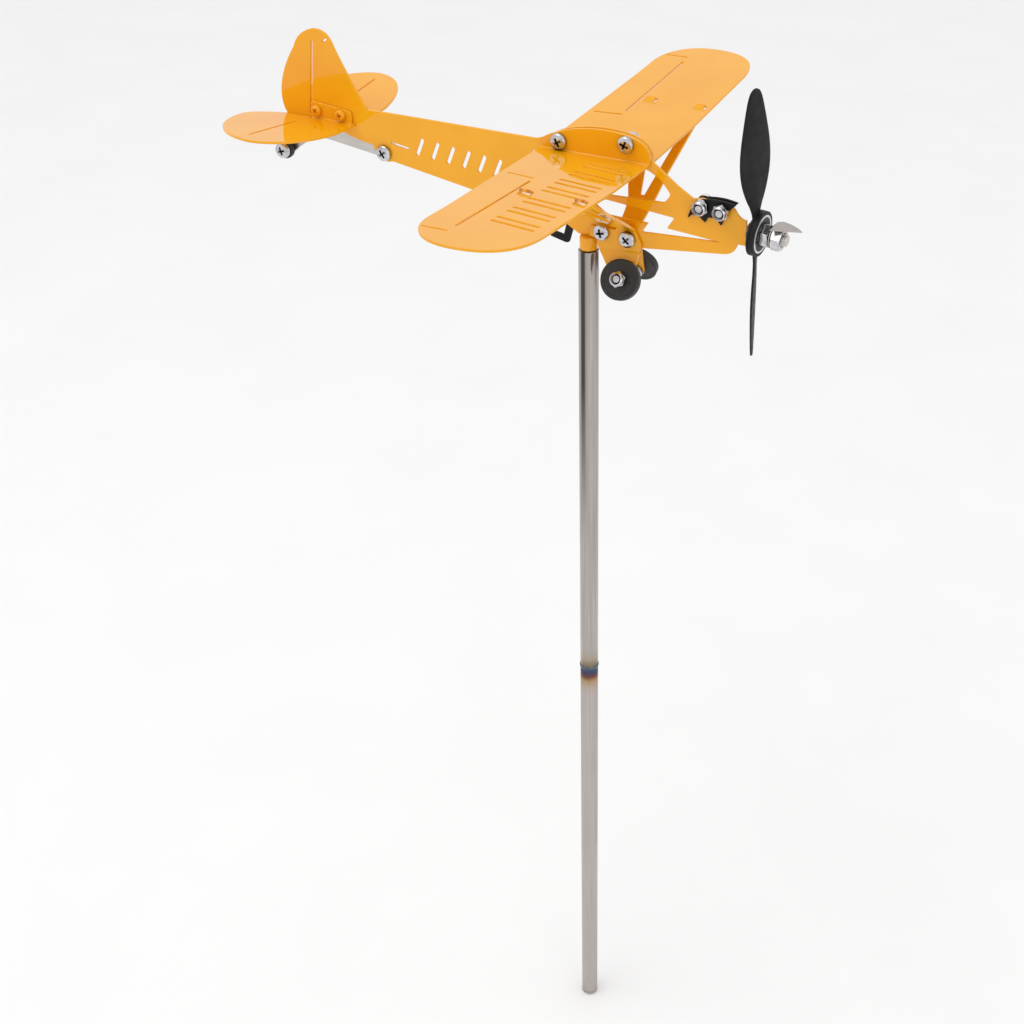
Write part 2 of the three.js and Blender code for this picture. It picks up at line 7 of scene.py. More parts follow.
import math

import bmesh
import bpy
from mathutils import Matrix, Vector
from mathutils.geometry import tessellate_polygon


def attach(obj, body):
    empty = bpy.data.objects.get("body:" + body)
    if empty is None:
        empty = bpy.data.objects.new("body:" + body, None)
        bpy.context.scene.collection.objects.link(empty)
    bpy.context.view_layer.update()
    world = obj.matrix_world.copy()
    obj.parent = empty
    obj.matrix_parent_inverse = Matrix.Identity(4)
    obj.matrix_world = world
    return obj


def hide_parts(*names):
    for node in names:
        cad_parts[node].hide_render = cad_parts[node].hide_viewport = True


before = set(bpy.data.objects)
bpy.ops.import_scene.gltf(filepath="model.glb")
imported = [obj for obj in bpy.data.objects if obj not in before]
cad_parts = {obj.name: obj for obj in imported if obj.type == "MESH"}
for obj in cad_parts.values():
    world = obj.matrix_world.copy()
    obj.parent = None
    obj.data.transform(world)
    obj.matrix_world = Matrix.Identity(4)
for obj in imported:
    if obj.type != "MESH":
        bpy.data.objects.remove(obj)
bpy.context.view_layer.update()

MM = 0.001
GAP = 0.2                        # between clamped pieces
SHEET = 1.5                      # fuselage, braces and tail strip
THIN = 1.2                       # wings, stabilizers and black trim
EDGE = 0.28                      # rounding of a painted sheet's edge
POLE_TOP = 530
POLE_JOINT = 276
WING_SCREWS = [(-14, 52.2), (20, 56)]
BRACE_SCREWS = [(8.2, 11.4), (21.6, 10.2)]
STABILIZER_SCREWS = [(-148.6, 47), (-134.6, 46.6)]
TAIL_SCREW = (-111.5, 30.5)
TAIL_WHEEL = (-171.2, 23.1)
ENGINE_BOLTS = [(57.7, 32.6), (67.6, 32)]
SIDE_FACE = SHEET / 2 + GAP      # inner face of whatever is bolted to the fuselage
M4 = {"radius": 2, "hole": 2.3, "head": 4, "height": 2.6, "flats": 7, "nut": 4.2, "pitch": 0.7}
M3 = {"radius": 1.5, "hole": 1.8, "head": 2.8, "height": 2, "flats": 5.5, "nut": 3.2, "pitch": 0.5}
M6 = {"radius": 3, "flats": 10, "nut": 4.7, "pitch": 1}


# ---------- outlines ----------

def bezier(knots, t):
    while len(knots) > 1:
        knots = [a.lerp(b, t) for a, b in zip(knots, knots[1:])]
    return knots[0]


def trace(start, *moves, steps=20):
    """An outline. A tuple is a straight line to a point; a list holds a curve's handles and its end."""
    points = [Vector(start)]
    for move in moves:
        if isinstance(move, tuple):
            points.append(Vector(move))
        else:
            knots = [points[-1]] + [Vector(p) for p in move]
            points += [bezier(knots, i / steps) for i in range(1, steps + 1)]
    return points


def arc(x, y, radius, start, end, steps):
    angles = [start + (end - start) * i / steps for i in range(steps + 1)]
    return [Vector((x + radius * math.cos(a), y + radius * math.sin(a))) for a in angles]


def circle(x, y, radius, steps=40):
    return arc(x, y, radius, 0, 2 * math.pi, steps)[:-1]


def slot(start, end, width):
    """A straight slot with round ends."""
    (x0, y0), (x1, y1) = start, end
    angle = math.atan2(y1 - y0, x1 - x0)
    quarter = math.pi / 2
    return (arc(x1, y1, width / 2, angle - quarter, angle + quarter, 8)
            + arc(x0, y0, width / 2, angle + quarter, angle + 3 * quarter, 8))


def rounded(points, radius, steps=5):
    """A polygon with its corners rounded."""
    result = []
    for before, corner, after in zip(points[-1:] + points[:-1], points, points[1:] + points[:1]):
        corner = Vector(corner)
        back, ahead = Vector(before) - corner, Vector(after) - corner
        reach = min(radius, back.length / 2.2, ahead.length / 2.2)
        start, end = corner + back.normalized() * reach, corner + ahead.normalized() * reach
        result += [bezier([start, corner, end], i / steps) for i in range(steps + 1)]
    return result


def oriented(points, anticlockwise):
    area = sum(a.x * b.y - b.x * a.y for a, b in zip(points, points[1:] + points[:1]))
    return points if (area > 0) == anticlockwise else points[::-1]


def tidy(points):
    """Drops points that lie on the one before."""
    kept = [p for p, q in zip(points, points[-1:] + points[:-1]) if (p - q).length > 1e-3]
    return kept


def inset(points, distance):
    """Moves every point of a loop to its left by the distance."""
    moved = []
    for before, point, after in zip(points[-1:] + points[:-1], points, points[1:] + points[:1]):
        first, second = (point - before).normalized(), (after - point).normalized()
        normal = Vector((-first.y - second.y, first.x + second.x))
        length = max(normal.length, 0.5)
        moved.append(point + normal.normalized() * distance * min(2 / length, 1.6))
    return moved


# ---------- sheet metal ----------

def flat_sheet(outline, holes, thickness, edge=EDGE, turns=3):
    """A flat sheet from w = 0 to w = thickness, with rounded edges all round."""
    loops = [oriented(tidy(outline), True)] + [oriented(tidy(hole), False) for hole in holes]
    lower = [(edge * (1 - math.sin(a)), edge * (1 - math.cos(a)))
             for a in [math.pi / 2 * i / turns for i in range(turns + 1)]]
    levels = lower + [(shrink, thickness - w) for shrink, w in reversed(lower)]
    bm = bmesh.new()
    rings = []
    for shrink, w in levels:
        rings.append([[bm.verts.new((p.x, p.y, w)) for p in inset(loop, shrink)] for loop in loops])
    for under, over in zip(rings, rings[1:]):
        for low, high in zip(under, over):
            for i in range(len(low)):
                j = (i + 1) % len(low)
                bm.faces.new((low[i], low[j], high[j], high[i]))
    for ring in (rings[0], rings[-1]):
        verts = [vert for loop in ring for vert in loop]
        flat = [[vert.co.xy.to_3d() for vert in loop] for loop in ring]
        for triangle in tessellate_polygon(flat):
            bm.faces.new([verts[i] for i in triangle])
    return bm


def fold(bm, at, sign, turn, radius, face, within=(-1000, 1000), cuts=10):
    """Folds everything beyond v = at towards +w. face is w on the inside of the bend."""
    length = radius * turn
    for i in range(cuts + 1):
        everything = bm.verts[:] + bm.edges[:] + bm.faces[:]
        line = (0, at + sign * length * i / cuts, 0)
        bmesh.ops.bisect_plane(bm, geom=everything, dist=1e-5, plane_co=line, plane_no=(0, 1, 0))
    for vert in bm.verts:
        x, v, w = vert.co
        past = sign * (v - at)
        if past <= 0 or not within[0] <= x <= within[1]:
            continue
        angle = min(past, length) / radius
        reach = radius + face - w
        rest = max(past - length, 0)
        vert.co.y = at + sign * (reach * math.sin(angle) + rest * math.cos(angle))
        vert.co.z = face + radius - reach * math.cos(angle) + rest * math.sin(angle)
    return bm


def frame_matrix(x_axis, v_axis, w_axis, origin=(0, 0, 0)):
    rows = [Vector(axis).to_3d() for axis in (x_axis, v_axis, w_axis)]
    matrix = Matrix.Identity(4)
    for column, axis in enumerate(rows):
        for row in range(3):
            matrix[row][column] = axis[row]
    matrix.translation = Vector(origin)
    return matrix


def upright(y):
    """Stands a sheet in the X-Z plane of the aeroplane, its w = 0 face at this y."""
    return frame_matrix((1, 0, 0), (0, 0, 1), (0, 1, 0), (0, y, POLE_TOP))


MIRROR = Matrix.Scale(-1, 4, (0, 1, 0))


# ---------- turned pieces, nuts and threads ----------

def sweep_columns(columns, closed_ends):
    """A skin over columns of points that stand round the Z axis."""
    bm = bmesh.new()
    grid = [[bm.verts.new(point) for point in column] for column in columns]
    rows = len(grid[0])
    for i, column in enumerate(grid):
        following = grid[(i + 1) % len(grid)]
        for j in range(rows - 1 if closed_ends else rows):
            k = (j + 1) % rows
            bm.faces.new((column[j], following[j], following[k], column[k]))
    if closed_ends:
        bm.faces.new([column[0] for column in grid][::-1])
        bm.faces.new([column[-1] for column in grid])
    return bm


def turned(profile, segments=72, solid=True):
    """A solid profile starts and ends beside the axis; an open one is a ring whose profile closes."""
    columns = []
    for i in range(segments):
        angle = 2 * math.pi * i / segments
        columns.append([(r * math.cos(angle), r * math.sin(angle), z) for r, z in profile])
    return sweep_columns(columns, solid)


def soft_corners(profile, radius, steps=4):
    return [tuple(p) for p in rounded(profile, radius, steps)]


def ring(inner, outer, bottom, top, edge=0.25, segments=96):
    corners = [(inner, bottom), (outer, bottom), (outer, top), (inner, top)]
    return turned(soft_corners(corners, edge), segments, solid=False)


def hex_reach(angle, flats):
    """Distance from the axis to a hexagon's side, with its corners just broken."""
    within = (angle % (math.pi / 3)) - math.pi / 6
    return min(flats / 2 / math.cos(within), flats / math.sqrt(3) * 0.985)


def nut(flats, height, bore, collar=0.0):
    """A chamfered nut from z = 0 up. collar is the height of a lock nut's round end."""
    body = height - collar
    seat = flats / 2 * 0.95
    columns = []
    for i in range(144):
        angle = 2 * math.pi * i / 144
        reach = hex_reach(angle, flats)
        drop = (reach - seat) * math.tan(math.radians(30))
        profile = [(bore, 0), (seat, 0), (reach, drop), (reach, body - drop), (seat, body)]
        if collar:
            crown = flats * 0.49
            profile += [(crown, body + 0.1), (crown, height - 0.8), (crown - 0.3, height - 0.3),
                        (crown - 0.8, height), (bore + 0.55, height - 0.15), (bore, height - 0.9)]
        else:
            profile += [(bore + 0.35, body), (bore, body - 0.35)]
        columns.append([(r * math.cos(angle), r * math.sin(angle), z) for r, z in profile])
    return sweep_columns(columns, closed_ends=False)


def thread(radius, pitch, bottom, top, segments=36, rows_per_turn=6):
    """A threaded rod with chamfered ends, as columns whose radius follows the helix."""
    rows = int((top - bottom) / pitch * rows_per_turn)
    depth = pitch * 0.5
    columns = []
    for i in range(segments):
        turn = i / segments
        column = []
        for j in range(rows + 1):
            z = bottom + (top - bottom) * j / rows
            wave = abs(((z / pitch - turn) % 1) * 2 - 1)
            from_end = min(z - bottom, top - z)
            reach = min(radius - depth * (1 - wave), radius - depth + from_end * 0.9)
            column.append((reach * math.cos(2 * math.pi * turn), reach * math.sin(2 * math.pi * turn), z))
        columns.append(column)
    return sweep_columns(columns, closed_ends=True)


def merged(*parts):
    """Several closed shells as the one mesh of a piece."""
    whole = bmesh.new()
    for part in parts:
        loose = bpy.data.meshes.new("part")
        part.to_mesh(loose)
        part.free()
        whole.from_mesh(loose)
        bpy.data.meshes.remove(loose)
    return whole


def moved(bm, x=0.0, y=0.0, z=0.0, rotation=Matrix.Identity(4)):
    bm.transform(Matrix.Translation((x, y, z)) @ rotation)
    return bm


def boolean(target, tool, operation):
    """Cuts or joins two closed shells exactly."""
    objects = []
    for bm in (target, tool):
        bmesh.ops.recalc_face_normals(bm, faces=bm.faces)
        mesh = bpy.data.meshes.new("operand")
        bm.to_mesh(mesh)
        bm.free()
        objects.append(bpy.data.objects.new("operand", mesh))
        bpy.context.scene.collection.objects.link(objects[-1])
    modifier = objects[0].modifiers.new("exact", "BOOLEAN")
    modifier.operation = operation
    modifier.object = objects[1]
    modifier.solver = "EXACT"
    evaluated = objects[0].evaluated_get(bpy.context.evaluated_depsgraph_get())
    result = bmesh.new()
    result.from_mesh(evaluated.data)
    for obj in objects:
        bpy.data.objects.remove(obj)
    return result


def screw_head(size):
    """A domed pan head with a tapered cross recess, its underside at z = 0."""
    head, height = size["head"], size["height"]
    dome = [Vector((head, height * 0.42)), Vector((head, height * 0.86)), Vector((head * 0.62, height)),
            Vector((head * 0.05, height))]
    profile = [(head * 0.05, 0), (head - 0.2, 0), (head, 0.2)]
    profile += [tuple(bezier(dome, i / 12)) for i in range(13)]
    blank = turned(profile, 64)
    depth = height * 0.72
    wide, narrow, half = head * 0.62, head * 0.24, head * 0.14
    for quarter in range(2):
        section = [(-wide, height + 0.3), (-narrow, height - depth),
                   (narrow, height - depth), (wide, height + 0.3)]
        arm = bmesh.new()
        front = [arm.verts.new((x, -half, z)) for x, z in section]
        back = [arm.verts.new((x, half, z)) for x, z in section]
        arm.faces.new(front)
        arm.faces.new(back[::-1])
        for i in range(4):
            j = (i + 1) % 4
            arm.faces.new((front[i], back[i], back[j], front[j]))
        arm.transform(Matrix.Rotation(quarter * math.pi / 2, 4, "Z"))
        blank = boolean(blank, arm, "DIFFERENCE")
    return blank


def screw(size, length):
    """A pan-head screw: the head above z = 0 and the threaded shank below it."""
    return merged(screw_head(size), thread(size["radius"], size["pitch"], -length, 0.1))


def lock_nut(size):
    return nut(size["flats"], size["nut"], size["radius"] + 0.05, collar=size["nut"] * 0.48)


# ---------- materials ----------

class Surface:
    """A Principled material with short calls for the nodes that feed it."""

    def __init__(self, name, colour, metallic=0.0, roughness=0.4, ior=1.5):
        self.material = bpy.data.materials.new(name)
        self.material.use_nodes = True
        self.nodes = self.material.node_tree.nodes
        self.links = self.material.node_tree.links
        self.shader = self.nodes["Principled BSDF"]
        self.shader.inputs["Base Color"].default_value = (*colour, 1)
        self.shader.inputs["Metallic"].default_value = metallic
        self.shader.inputs["Roughness"].default_value = roughness
        self.shader.inputs["IOR"].default_value = ior
        self.place = self.nodes.new("ShaderNodeTexCoord").outputs["Object"]

    def link(self, output, target, socket):
        self.links.new(output, target.inputs[socket])

    def stretched(self, scale):
        node = self.nodes.new("ShaderNodeMapping")
        node.inputs["Scale"].default_value = scale
        self.link(self.place, node, "Vector")
        return node.outputs["Vector"]

    def noise(self, scale, detail=3.0, roughness=0.5, stretch=(1, 1, 1)):
        node = self.nodes.new("ShaderNodeTexNoise")
        node.inputs["Scale"].default_value = scale
        node.inputs["Detail"].default_value = detail
        node.inputs["Roughness"].default_value = roughness
        self.link(self.stretched(stretch), node, "Vector")
        return node.outputs["Fac"]

    def spread(self, value, low, high, out_low, out_high):
        node = self.nodes.new("ShaderNodeMapRange")
        sockets = ("From Min", "From Max", "To Min", "To Max")
        for socket, number in zip(sockets, (low, high, out_low, out_high)):
            node.inputs[socket].default_value = number
        self.link(value, node, "Value")
        return node.outputs["Result"]

    def ramp(self, value, *stops):
        node = self.nodes.new("ShaderNodeValToRGB")
        elements = node.color_ramp.elements
        while len(elements) < len(stops):
            elements.new(0.5)
        for element, (position, colour) in zip(elements, stops):
            element.position = position
            element.color = (*colour, 1)
        self.link(value, node, "Fac")
        return node.outputs["Color"]

    def blend(self, factor, first, second, mode="MIX"):
        node = self.nodes.new("ShaderNodeMix")
        node.data_type = "RGBA"
        node.blend_type = mode
        for socket, source in ((0, factor), (6, first), (7, second)):
            if isinstance(source, (int, float)):
                node.inputs[socket].default_value = source
            elif isinstance(source, tuple):
                node.inputs[socket].default_value = (*source, 1)
            else:
                self.links.new(source, node.inputs[socket])
        return node.outputs[2]

    def edges(self, radius):
        """1 on a sharp or rounded edge and 0 on a flat face."""
        bevel = self.nodes.new("ShaderNodeBevel")
        bevel.samples = 4
        bevel.inputs["Radius"].default_value = radius
        true_normal = self.nodes.new("ShaderNodeNewGeometry").outputs["True Normal"]
        dot = self.nodes.new("ShaderNodeVectorMath")
        dot.operation = "DOT_PRODUCT"
        self.links.new(bevel.outputs["Normal"], dot.inputs[0])
        self.links.new(true_normal, dot.inputs[1])
        return self.spread(dot.outputs["Value"], 0.98, 0.75, 0, 1)

    def openness(self, distance):
        """1 on an open face and less inside a recess."""
        node = self.nodes.new("ShaderNodeAmbientOcclusion")
        node.samples = 8
        node.inputs["Distance"].default_value = distance
        return node.outputs["AO"]

    def axis(self, index):
        node = self.nodes.new("ShaderNodeSeparateXYZ")
        self.link(self.place, node, "Vector")
        return node.outputs[index]

    def colour(self, output):
        self.link(output, self.shader, "Base Color")
        return self

    def gloss(self, output):
        self.link(output, self.shader, "Roughness")
        return self

    def bump(self, output, distance, strength=1.0):
        node = self.nodes.new("ShaderNodeBump")
        node.inputs["Distance"].default_value = distance
        node.inputs["Strength"].default_value = strength
        self.link(output, node, "Height")
        self.link(node.outputs["Normal"], self.shader, "Normal")
        return self


def orange_paint():
    """Gloss enamel: faint orange peel, slightly uneven colour, thinner and darker at cut edges."""
    surface = Surface("orange_paint", (0.86, 0.38, 0.003), roughness=0.05)
    uneven = surface.ramp(surface.noise(45, 4), (0.3, (0.84, 0.365, 0.002)), (0.7, (0.88, 0.395, 0.005)))
    worn = surface.blend(surface.edges(0.0003), uneven, (0.70, 0.22, 0.002))
    surface.colour(worn).gloss(surface.spread(surface.noise(160, 3), 0.3, 0.7, 0.03, 0.09))
    return surface.bump(surface.noise(420, 2), 0.00002, 0.2).material


def black_paint():
    """Satin black enamel, finely textured, rubbed brown-grey along its edges."""
    surface = Surface("black_paint", (0.008, 0.007, 0.008), roughness=0.5, ior=1.3)
    uneven = surface.ramp(surface.noise(90, 4), (0.3, (0.006, 0.005, 0.006)), (0.7, (0.012, 0.010, 0.011)))
    surface.colour(surface.blend(surface.edges(0.0003), uneven, (0.05, 0.042, 0.038)))
    surface.gloss(surface.spread(surface.noise(300, 4), 0.3, 0.7, 0.42, 0.6))
    return surface.bump(surface.noise(2600, 3), 0.00003, 0.5).material


def wheel_black():
    """Moulded plastic with a dull skin and fine turning marks."""
    surface = Surface("wheel_black", (0.013, 0.013, 0.014), roughness=0.5)
    uneven = surface.ramp(surface.noise(400, 4), (0.3, (0.010, 0.010, 0.011)), (0.7, (0.022, 0.022, 0.023)))
    surface.colour(uneven)
    surface.gloss(surface.spread(surface.noise(700, 3), 0.3, 0.7, 0.42, 0.6))
    return surface.bump(surface.noise(3000, 3), 0.00003, 0.6).material


def seal_rubber():
    surface = Surface("seal_rubber", (0.016, 0.016, 0.018), roughness=0.6)
    uneven = surface.ramp(surface.noise(900, 3), (0.3, (0.012, 0.012, 0.013)), (0.7, (0.026, 0.025, 0.026)))
    surface.colour(uneven)
    surface.gloss(surface.spread(surface.noise(1200, 3), 0.3, 0.7, 0.5, 0.7))
    return surface.bump(surface.noise(4000, 2), 0.00002, 0.5).material


def bright_steel():
    """Plated steel: bright, slightly clouded, with fine rolling marks and painted shade darkening its
    recesses.
    """
    surface = Surface("bright_steel", (0.5, 0.5, 0.52), metallic=1, roughness=0.16)
    plating = surface.ramp(surface.noise(500, 4), (0.3, (0.46, 0.45, 0.46)), (0.7, (0.68, 0.67, 0.69)))
    # painted shade: ambient occlusion darkens the base colour inside recesses such as the cross recess and
    # the lock nut's mouth
    painted_recess_shade = surface.ramp(surface.openness(0.003), (0.35, (0.06, 0.06, 0.06)), (0.85, (1, 1, 1)))
    surface.colour(surface.blend(1.0, plating, painted_recess_shade, "MULTIPLY"))
    surface.gloss(surface.spread(surface.noise(900, 4), 0.3, 0.7, 0.10, 0.24))
    return surface.bump(surface.noise(3500, 2), 0.00001, 0.4).material


def bronze_bush():
    surface = Surface("bronze_bush", (0.6, 0.42, 0.18), metallic=1, roughness=0.35)
    surface.colour(surface.ramp(surface.noise(700, 4), (0.3, (0.5, 0.33, 0.13)), (0.7, (0.66, 0.47, 0.22))))
    surface.gloss(surface.spread(surface.noise(900, 3, stretch=(1, 1, 8)), 0.3, 0.7, 0.28, 0.42))
    return surface.bump(surface.noise(600, 2, stretch=(1, 1, 12)), 0.00002, 0.4).material


def drawn_steel(name, colour_low, colour_high, roughness, lengthwise):
    """Bare stainless steel with drawing lines along the piece."""
    surface = Surface(name, colour_high, metallic=1, roughness=roughness)
    grain = surface.noise(900, 5, 0.6, stretch=lengthwise)
    surface.colour(surface.ramp(grain, (0.3, colour_low), (0.7, colour_high)))
    cloud = surface.noise(60, 3)
    surface.gloss(surface.spread(cloud, 0.3, 0.7, roughness - 0.05, roughness + 0.07))
    return surface.bump(grain, 0.00002, 0.35)


def strip_steel():
    return drawn_steel("strip_steel", (0.50, 0.47, 0.44), (0.66, 0.63, 0.60), 0.28, (0.08, 1, 1)).material


def painted_shade_streaks(surface, base):
    """Painted shade: long dark streaks that run down the tube from its upper end, under the aeroplane, and
    fade out on the way.
    """
    streak = surface.ramp(surface.noise(330, 2, 0.4, stretch=(1, 1, 0.004)),
                          (0.40, (0.16, 0.15, 0.15)), (0.47, (0.42, 0.40, 0.39)), (0.58, (1, 1, 1)))
    fading = surface.spread(surface.axis(2), 0.36, 0.46, 0, 1)
    return surface.blend(fading, base, surface.blend(1.0, base, streak, "MULTIPLY"))


def pole_steel(name, colour_low, colour_high, roughness, streaked):
    """Drawn tube with the weld's heat tint in bands on both sides of the joint."""
    surface = drawn_steel(name, colour_low, colour_high, roughness, (1, 1, 0.02))
    height = surface.axis(2)
    ragged = surface.noise(140, 2)
    wobble = surface.nodes.new("ShaderNodeMath")
    wobble.operation = "MULTIPLY_ADD"
    surface.links.new(ragged, wobble.inputs[0])
    wobble.inputs[1].default_value = 0.004
    surface.links.new(height, wobble.inputs[2])
    low, high = POLE_JOINT * MM - 0.018, POLE_JOINT * MM + 0.014
    along = surface.spread(wobble.outputs[0], low + 0.002, high + 0.002, 0, 1)
    tint = surface.ramp(
        along,
        (0.0, (1, 1, 1)), (0.12, (1.0, 0.93, 0.80)), (0.26, (0.92, 0.70, 0.42)),
        (0.36, (0.42, 0.20, 0.12)), (0.44, (0.16, 0.15, 0.30)), (0.52, (0.14, 0.24, 0.42)),
        (0.58, (0.30, 0.36, 0.44)), (0.66, (0.62, 0.50, 0.36)), (0.80, (0.95, 0.88, 0.76)),
        (1.0, (1, 1, 1)))
    base = surface.shader.inputs["Base Color"].links[0].from_socket
    # the upper tube gets painted shade streaks at its top end, under the aeroplane
    if streaked:
        base = painted_shade_streaks(surface, base)
    return surface.colour(surface.blend(1.0, base, tint, "MULTIPLY")).material


# streaked=True paints shade streaks on the upper tube's top end
UPPER_TUBE = pole_steel("upper_tube_steel", (0.36, 0.33, 0.31), (0.48, 0.45, 0.43), 0.2, streaked=True)
LOWER_TUBE = pole_steel("lower_tube_steel", (0.44, 0.40, 0.385), (0.52, 0.475, 0.455), 0.42, streaked=False)

MATERIALS = {                    # look: material, and its slot name
    "orange": (orange_paint(), "orange_paint"),
    "black": (black_paint(), "black_paint"),
    "wheel": (wheel_black(), "wheel_black"),
    "seal": (seal_rubber(), "seal_rubber"),
    "bright": (bright_steel(), "bright_steel"),
    "bush": (bronze_bush(), "bronze_bush"),
    "strip": (strip_steel(), "bare_steel"),
    "upper tube": (UPPER_TUBE, "bare_steel"),
    "lower tube": (LOWER_TUBE, "bare_steel"),
}


# ---------- finishing a piece ----------

def piece(name, bm, look, body, nodes, sharp=None):
    """Turns a shape in millimetres into a piece that rides on a body and stands for CAD nodes."""
    bmesh.ops.recalc_face_normals(bm, faces=bm.faces)
    mesh = bpy.data.meshes.new(name)
    bm.to_mesh(mesh)
    bm.free()
    mesh.transform(Matrix.Scale(MM, 4))
    for face in mesh.polygons:
        face.use_smooth = True
    obj = bpy.data.objects.new(name, mesh)
    bpy.context.scene.collection.objects.link(obj)
    if sharp:
        mesh.set_sharp_from_angle(angle=math.radians(sharp))
    else:
        weighted = obj.modifiers.new("flat faces stay flat", "WEIGHTED_NORMAL")
        weighted.keep_sharp = True
    material, slot_name = MATERIALS[look]
    mesh.materials.append(material)
    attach(obj, body)
    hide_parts(*nodes)
    return obj


def sheet_piece(node, bm, look, matrix):
    bm.transform(matrix)
    return piece(f"{node}_sheet", bm, look, "aeroplane", [node])


# ---------- fuselage ----------

def fuselage():
    outline = trace(
        (-137, 38), [(-126, 34), (-118, 33.5)], (-116, 27.5), [(-112, 25), (-107, 26.6)],
        (-12, 11.5), (-5, 7.4), (5, 7.4), (28, 6), (69, 10.8),
        [(74.5, 11.5), (75.5, 16.8)], (80.3, 16.8), (79.2, 29),
        [(76, 29), (74, 32.5)], [(73, 34.4), (70, 35.4)], (57.5, 35.9), (53, 35), (45.5, 39.5), (32, 49.5),
        [(31.6, 57.2), (25, 60.6), (8, 60.4)], [(-12, 59.6), (-24, 52)], (-27, 51), (-120, 51),
        [(-130, 66), (-136.5, 79)], [(-139, 86), (-143, 87.5), (-148, 87.2)], [(-157, 85), (-160, 77)],
        [(-168, 66), (-172, 54), (-169.5, 46)], [(-168, 40), (-160, 39)])
    openings = [
        rounded([(-2, 29), (-2, 45), (30, 45), (36.5, 41.5), (42, 35), (39, 30.6)], 1.6),
        rounded([(-36, 36), (-28, 45.5), (-8, 45.5), (-8, 31.5)], 1.6),
        rounded([(4, 23.5), (9, 27), (44, 24), (40.5, 18.3), (67, 16.3), (28, 14.2), (31, 19),
                 (10, 19.5)], 0.8),
        slot((-107, 36), (-98, 34.6), 1.2),
        slot((-149, 80.7), (-153.4, 44.5), 1),
        slot((-142.4, 81.6), (-140.6, 82.8), 0.9),
    ]
    for step in range(6):
        x, z = -91 + 8.6 * step, 36.4 - 0.75 * step
        openings.append(slot((x - 1.5, z - 3.6), (x + 1.5, z + 3.6), 2))
    bolts = WING_SCREWS + BRACE_SCREWS + [TAIL_SCREW] + ENGINE_BOLTS
    openings += [circle(x, z, M4["hole"]) for x, z in bolts]
    openings += [circle(x, z, M3["hole"]) for x, z in STABILIZER_SCREWS]
    sheet_piece("fuselage_plate", flat_sheet(outline, openings, SHEET), "orange", upright(-SHEET / 2))


# ---------- wings and stabilizers ----------

BEND = 0.6                       # inside radius of the folds along the roots


class RootFold:
    """Where a sloping panel turns up into the flange that is bolted to the fuselage."""

    def __init__(self, rise, root_height):
        slope = math.atan(rise)
        self.turn = math.pi / 2 + slope
        top_y = SIDE_FACE - THIN * math.sin(slope)
        top_z = root_height - THIN + THIN * math.cos(slope)
        start_y = SIDE_FACE + THIN + BEND * (1 + math.sin(slope))
        start_z = top_z + rise * (start_y - top_y)
        self.start = (start_y - top_y) / math.cos(slope)
        centre_z = start_z + BEND * math.cos(slope)
        self.flat = self.start - BEND * self.turn + centre_z
        origin = (0, SIDE_FACE, POLE_TOP + root_height - THIN)
        self.matrix = Matrix.Translation(origin) @ Matrix.Rotation(slope, 4, "X")

    def flange(self, x, z):
        """Where a point at this height on the flange lies before folding."""
        return (x, self.flat - z)

    def folded(self, bm, within=(-1000, 1000)):
        return fold(bm, self.start, -1, self.turn, BEND, THIN, within)


WING_FOLD = RootFold(0.077, 47.9)
STABILIZER_FOLD = RootFold(0.11, 42.8)


def wing(striped):
    up = WING_FOLD.flange
    outline = trace(
        (31.5, 2), (33.6, 45), (34, 110), [(34, 130), (24, 139.5), (7, 139.5)],
        [(-8, 139.5), (-18, 128), (-18, 112)], (-18.5, 96), (-24, 2),
        up(-23.5, 51), [up(-14, 60), up(8, 61)], [up(24, 61), up(31, 57.5), up(32, 51)])
    hinge_line = -3.5
    openings = [
        slot((hinge_line - 0.5, 50), (hinge_line + 1, 117), 1),
        slot((hinge_line - 1, 45.5), (-18, 44), 1),
        slot((hinge_line + 0.5, 124), (-14, 124), 1),
    ]
    for middle in (17, 31, 45, 57.5, 75, 89, 103) if striped else ():
        for side in (-2.6, 2.6):
            openings.append(slot((7, middle + side - 1.6), (27, middle + side + 1.6), 1.8))
    for rear, front in ((-0.8, 4.8), (25.7, 30.8)):
        corners = [(rear, 63), (front, 63), (front, 69.2), (rear, 69.2)]
        openings.append(rounded(corners, 0.8))
    openings += [circle(*up(x, z), M4["hole"]) for x, z in WING_SCREWS]
    return WING_FOLD.folded(flat_sheet(outline, openings, THIN))


def stabilizer(panel, hinge):
    """A panel, drawn from its front root corner to its rear one, with a flange between two notches."""
    up = STABILIZER_FOLD.flange
    notch = STABILIZER_FOLD.start + 0.6
    rear, front = -152.2, -128.6
    outline = panel + trace(
        (rear - 1, 0.3), (rear - 0.6, notch), (rear, notch), up(rear, 50.6), up(rear + 1, 51.5),
        up(front - 1, 49.1), up(front, 48), (front, notch), (front + 0.6, notch), (front + 1, 0.3))
    openings = [slot(*hinge, 1)]
    openings += [circle(*up(x, z), M3["hole"]) for x, z in STABILIZER_SCREWS]
    return STABILIZER_FOLD.folded(flat_sheet(outline, openings, THIN), within=(rear - 0.3, front + 0.3))


def stabilizers():
    """The left panel is narrower at the back than the right one."""
    right = trace(
        (-126.9, 0.3), (-125, 21), [(-127, 40), (-136, 54), (-151, 55)],
        [(-172, 53), (-186, 34), (-185, 15)], [(-184.5, 8), (-177, 5), (-168, 0.3)])
    left = trace(
        (-126, 0.3), (-123.5, 21), [(-125, 40), (-134, 55), (-149, 56)],
        [(-166, 54), (-178, 36), (-177, 16)], [(-176.5, 9), (-171, 5), (-164, 0.3)])
    matrix = STABILIZER_FOLD.matrix
    sheet_piece("left_stabilizer", stabilizer(left, ((-147.5, 12), (-147, 48))), "orange", matrix)
    sheet_piece("right_stabilizer", stabilizer(right, ((-154, 12), (-157, 46))), "orange", MIRROR @ matrix)


# ---------- struts and landing gear ----------

